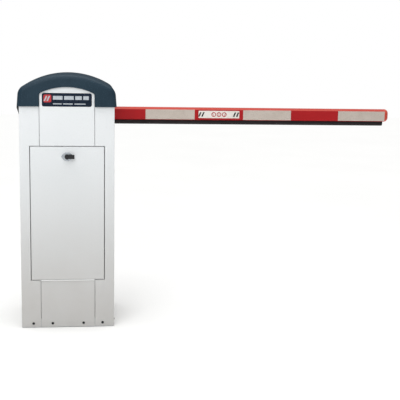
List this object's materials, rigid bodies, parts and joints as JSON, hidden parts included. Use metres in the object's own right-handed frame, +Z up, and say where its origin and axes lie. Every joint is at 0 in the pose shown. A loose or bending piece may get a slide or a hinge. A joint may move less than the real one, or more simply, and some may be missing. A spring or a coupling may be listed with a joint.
{
  "type": "parking barrier gate",
  "caption": "Parking barrier gate: white sheet-steel cabinet with a domed cap and tilting door, and a short red and white striped boom on a crank-driven shaft.",
  "frame": {"origin": "on the floor at the centre of the four anchor bolts, on the base plate's underside", "axes": "+Z up, +X the way the boom reaches when it is down, -Y the front with the door; the boom is on the rear, +Y, side"},
  "size_m": [1.6896, 0.448, 1.044],
  "materials": {
    "white_powder_coat": "satin powder coat, off-white",
    "cap_grey": "moulded, fine grain, dark blue-grey",
    "boom_red": "gloss red paint on extruded aluminium",
    "black_rubber": "matt extruded rubber",
    "reflective_white": "retroreflective white film",
    "end_cap_orange": "moulded orange-red",
    "zinc_plate": "bright zinc plated steel",
    "black_steel": "black powder coat",
    "black_oxide": "black oxide fasteners",
    "chrome_plate": "polished chrome",
    "grey_casting": "sand-cast aluminium, as cast",
    "motor_grey": "grey machine enamel",
    "spring_steel": "oil-tempered spring steel",
    "navy_badge": "printed gloss film",
    "label_film": "printed reflective film",
    "black_plastic": "moulded black plastic",
    "grey_plastic": "moulded grey plastic",
    "circuit_green": "solder resist",
    "component_dark": "moulded components",
    "ground_steel": "turned and ground steel",
    "red_rocker": "moulded red"
  },
  "bodies": {
    "cabinet": {"base_plate": "zinc_plate", "base_angles": "zinc_plate", "corner_posts": "zinc_plate", "frame_rails": "zinc_plate", "left_side_panel": "white_powder_coat", "right_side_panel": "white_powder_coat", "upper_front_panel": "white_powder_coat", "lower_front_panel": "white_powder_coat", "rear_panel": "white_powder_coat", "shaft_seal": "black_rubber", "panel_screws": "black_oxide", "badge_plate": "navy_badge", "front_bearing_plate": "zinc_plate", "rear_bearing_plate": "zinc_plate", "flange_bearings": "motor_grey", "frame_bolts": "zinc_plate", "stop_bars": "zinc_plate", "stop_bumpers": "black_rubber", "motor_plate": "zinc_plate", "gearbox_housing": "grey_casting", "motor": "motor_grey", "fan_cover": "black_plastic", "spring_shelf": "zinc_plate", "spring_anchor": "zinc_plate", "counterbalance_spring": "spring_steel", "control_box": "grey_plastic", "control_board": "circuit_green", "board_components": "component_dark", "control_box_lid": "grey_plastic", "cable_gland": "black_plastic"},
    "cap": {"cap_shell": "cap_grey"},
    "door": {"door_panel": "white_powder_coat", "lock_housing": "chrome_plate"},
    "lock": {"lock_core": "black_plastic", "lock_wing": "black_plastic", "lock_cam": "zinc_plate"},
    "arm": {"arm_shaft": "ground_steel", "shaft_key": "ground_steel", "drive_lever": "zinc_plate", "spring_lever": "zinc_plate", "lever_pins": "ground_steel", "arm_hub": "black_steel", "arm_bracket": "black_steel", "clamp_plate": "black_steel", "boom_bolts": "zinc_plate", "boom_nuts": "zinc_plate", "boom_tube": "boom_red", "reflective_tapes": "reflective_white", "label_plate": "label_film", "rubber_edge": "black_rubber", "boom_end_caps": "end_cap_orange"},
    "crank": {"output_shaft": "ground_steel", "crank": "zinc_plate", "crank_pin": "ground_steel"},
    "rod": {"drive_rod": "zinc_plate", "rod_ends": "zinc_plate"},
    "yoke": {"spring_yoke": "zinc_plate"},
    "rocker": {"power_rocker": "red_rocker"},
    "knob": {"release_knob": "black_plastic"}
  },
  "joints": [
    {"name": "arm_lift", "type": "hinge", "parent": "cabinet", "child": "arm", "pos_m": [0, 0, 0.865], "axis": [0, -1, 0], "range_deg": [0, 90]},
    {"name": "crank_turn", "type": "hinge", "parent": "cabinet", "child": "crank", "pos_m": [0, 0, 0.565], "axis": [0, -1, 0], "range_deg": [0, 90]},
    {"name": "rod_swing", "type": "hinge", "parent": "crank", "child": "rod", "pos_m": [0.0495, 0, 0.5155], "axis": [0, -1, 0], "range_deg": [-90, 0]},
    {"name": "yoke_slide", "type": "slide", "parent": "cabinet", "child": "yoke", "axis": [0, 0, 1], "range_m": [-0.07071, 0], "deforming": ["counterbalance_spring"]},
    {"name": "door_tilt", "type": "hinge", "parent": "cabinet", "child": "door", "pos_m": [0, -0.175, 0.204], "axis": [1, 0, 0], "range_deg": [0, 35]},
    {"name": "lock_turn", "type": "hinge", "parent": "door", "child": "lock", "pos_m": [0, -0.175, 0.715], "axis": [0, -1, 0], "range_deg": [0, 90]},
    {"name": "cap_lift", "type": "slide", "parent": "cabinet", "child": "cap", "axis": [0, 0, 1], "range_m": [0, 0.15]},
    {"name": "power_switch", "type": "hinge", "parent": "cabinet", "child": "rocker", "pos_m": [0.091, -0.0405, 0.226], "axis": [-1, 0, 0], "range_deg": [0, 18]},
    {"name": "release_turn", "type": "hinge", "parent": "cabinet", "child": "knob", "pos_m": [0, -0.13, 0.565], "axis": [0, 1, 0], "range_deg": [0, 90]}
  ],
  "couplings": [
    {"joint": "crank_turn", "follows": "arm_lift", "ratio": 1},
    {"joint": "rod_swing", "follows": "arm_lift", "ratio": -1},
    {"joint": "yoke_slide", "follows": "arm_lift", "m_per_rad": -0.045016}
  ]
}
